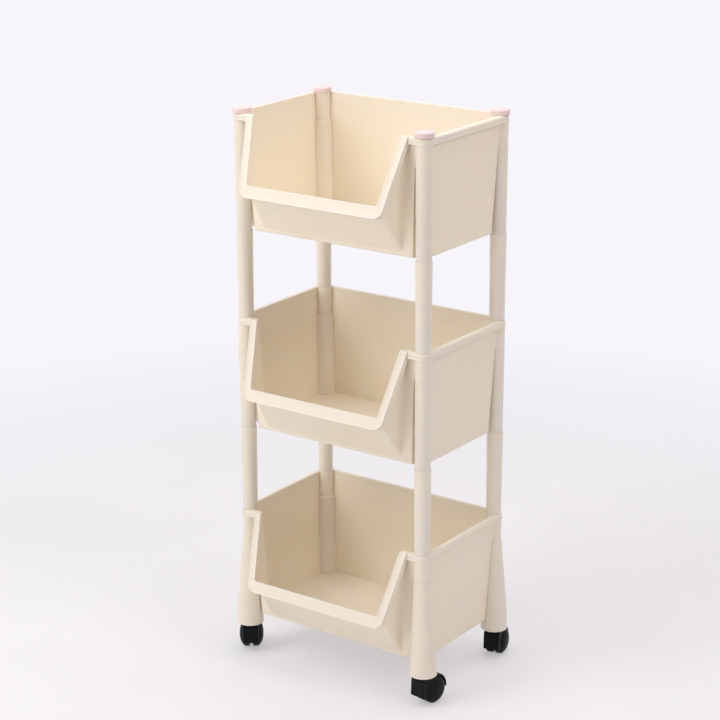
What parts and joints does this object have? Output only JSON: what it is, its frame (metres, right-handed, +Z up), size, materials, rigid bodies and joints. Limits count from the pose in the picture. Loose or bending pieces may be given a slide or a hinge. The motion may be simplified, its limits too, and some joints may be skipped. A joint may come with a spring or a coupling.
{
  "type": "rolling storage cart",
  "caption": "Rolling storage cart: open-front plastic baskets stacked on tubular corner posts, with flared feet, post caps and twin-wheel swivel casters.",
  "frame": {"origin": "on the floor, midway between the four corner post axes", "axes": "+X to the cart's right as seen from its front, +Y to the back, +Z up; the scoops open towards -Y"},
  "size_m": [0.3572, 0.2793, 0.8152],
  "materials": {
    "basket_plastic": "satin moulded polypropylene, ivory, slightly translucent",
    "cap_plastic": "satin moulded polypropylene, pale pink",
    "socket_plastic": "plain nylon, black",
    "hood_plastic": "satin moulded nylon, black",
    "wheel_plastic": "satin moulded nylon, black, tread slightly worn",
    "steel": "turned steel, zinc plated"
  },
  "bodies": {
    "stack": {"basket_bottom": "basket_plastic", "basket_middle": "basket_plastic", "basket_top": "basket_plastic", "tube_lower_front_left_1": "basket_plastic", "tube_lower_front_left_2": "basket_plastic", "tube_lower_front_right_1": "basket_plastic", "tube_lower_front_right_2": "basket_plastic", "tube_lower_back_right_1": "basket_plastic", "tube_lower_back_right_2": "basket_plastic", "tube_lower_back_left_1": "basket_plastic", "tube_lower_back_left_2": "basket_plastic", "tube_upper_front_left_1": "basket_plastic", "tube_upper_front_left_2": "basket_plastic", "tube_upper_front_right_1": "basket_plastic", "tube_upper_front_right_2": "basket_plastic", "tube_upper_back_right_1": "basket_plastic", "tube_upper_back_right_2": "basket_plastic", "tube_upper_back_left_1": "basket_plastic", "tube_upper_back_left_2": "basket_plastic", "foot_front_left": "basket_plastic", "foot_front_right": "basket_plastic", "foot_back_right": "basket_plastic", "foot_back_left": "basket_plastic", "cap_front_left": "cap_plastic", "cap_front_right": "cap_plastic", "cap_back_right": "cap_plastic", "cap_back_left": "cap_plastic", "caster_front_left_socket": "socket_plastic", "caster_front_right_socket": "socket_plastic", "caster_back_right_socket": "socket_plastic", "caster_back_left_socket": "socket_plastic"},
    "caster_front_left_swivel": {"caster_front_left_stem": "steel", "caster_front_left_hood": "hood_plastic", "caster_front_left_axle": "steel"},
    "caster_front_left_wheel_a": {"caster_front_left_wheel_a": "wheel_plastic"},
    "caster_front_left_wheel_b": {"caster_front_left_wheel_b": "wheel_plastic"},
    "caster_front_right_swivel": {"caster_front_right_stem": "steel", "caster_front_right_hood": "hood_plastic", "caster_front_right_axle": "steel"},
    "caster_front_right_wheel_a": {"caster_front_right_wheel_a": "wheel_plastic"},
    "caster_front_right_wheel_b": {"caster_front_right_wheel_b": "wheel_plastic"},
    "caster_back_right_swivel": {"caster_back_right_stem": "steel", "caster_back_right_hood": "hood_plastic", "caster_back_right_axle": "steel"},
    "caster_back_right_wheel_a": {"caster_back_right_wheel_a": "wheel_plastic"},
    "caster_back_right_wheel_b": {"caster_back_right_wheel_b": "wheel_plastic"},
    "caster_back_left_swivel": {"caster_back_left_stem": "steel", "caster_back_left_hood": "hood_plastic", "caster_back_left_axle": "steel"},
    "caster_back_left_wheel_a": {"caster_back_left_wheel_a": "wheel_plastic"},
    "caster_back_left_wheel_b": {"caster_back_left_wheel_b": "wheel_plastic"}
  },
  "joints": [
    {"name": "caster_front_left_turn", "type": "hinge", "parent": "stack", "child": "caster_front_left_swivel", "pos_m": [-0.1533, -0.0935, 0.05], "axis": [0, 0, 1], "continuous": true},
    {"name": "caster_front_left_roll_a", "type": "hinge", "parent": "caster_front_left_swivel", "child": "caster_front_left_wheel_a", "pos_m": [-0.16162, -0.08162, 0.02], "axis": [-0.8192, -0.5736, 0], "continuous": true},
    {"name": "caster_front_left_roll_b", "type": "hinge", "parent": "caster_front_left_swivel", "child": "caster_front_left_wheel_b", "pos_m": [-0.16162, -0.08162, 0.02], "axis": [-0.8192, -0.5736, 0], "continuous": true},
    {"name": "caster_front_right_turn", "type": "hinge", "parent": "stack", "child": "caster_front_right_swivel", "pos_m": [0.1533, -0.0935, 0.05], "axis": [0, 0, 1], "continuous": true},
    {"name": "caster_front_right_roll_a", "type": "hinge", "parent": "caster_front_right_swivel", "child": "caster_front_right_wheel_a", "pos_m": [0.15532, -0.07914, 0.02], "axis": [-0.9903, 0.1392, 0], "continuous": true},
    {"name": "caster_front_right_roll_b", "type": "hinge", "parent": "caster_front_right_swivel", "child": "caster_front_right_wheel_b", "pos_m": [0.15532, -0.07914, 0.02], "axis": [-0.9903, 0.1392, 0], "continuous": true},
    {"name": "caster_back_right_turn", "type": "hinge", "parent": "stack", "child": "caster_back_right_swivel", "pos_m": [0.1533, 0.0935, 0.05], "axis": [0, 0, 1], "continuous": true},
    {"name": "caster_back_right_roll_a", "type": "hinge", "parent": "caster_back_right_swivel", "child": "caster_back_right_wheel_a", "pos_m": [0.14955, 0.10751, 0.02], "axis": [-0.9659, -0.2588, 0], "continuous": true},
    {"name": "caster_back_right_roll_b", "type": "hinge", "parent": "caster_back_right_swivel", "child": "caster_back_right_wheel_b", "pos_m": [0.14955, 0.10751, 0.02], "axis": [-0.9659, -0.2588, 0], "continuous": true},
    {"name": "caster_back_left_turn", "type": "hinge", "parent": "stack", "child": "caster_back_left_swivel", "pos_m": [-0.1533, 0.0935, 0.05], "axis": [0, 0, 1], "continuous": true},
    {"name": "caster_back_left_roll_a", "type": "hinge", "parent": "caster_back_left_swivel", "child": "caster_back_left_wheel_a", "pos_m": [-0.15754, 0.10737, 0.02], "axis": [-0.9563, -0.2924, 0], "continuous": true},
    {"name": "caster_back_left_roll_b", "type": "hinge", "parent": "caster_back_left_swivel", "child": "caster_back_left_wheel_b", "pos_m": [-0.15754, 0.10737, 0.02], "axis": [-0.9563, -0.2924, 0], "continuous": true}
  ]
}
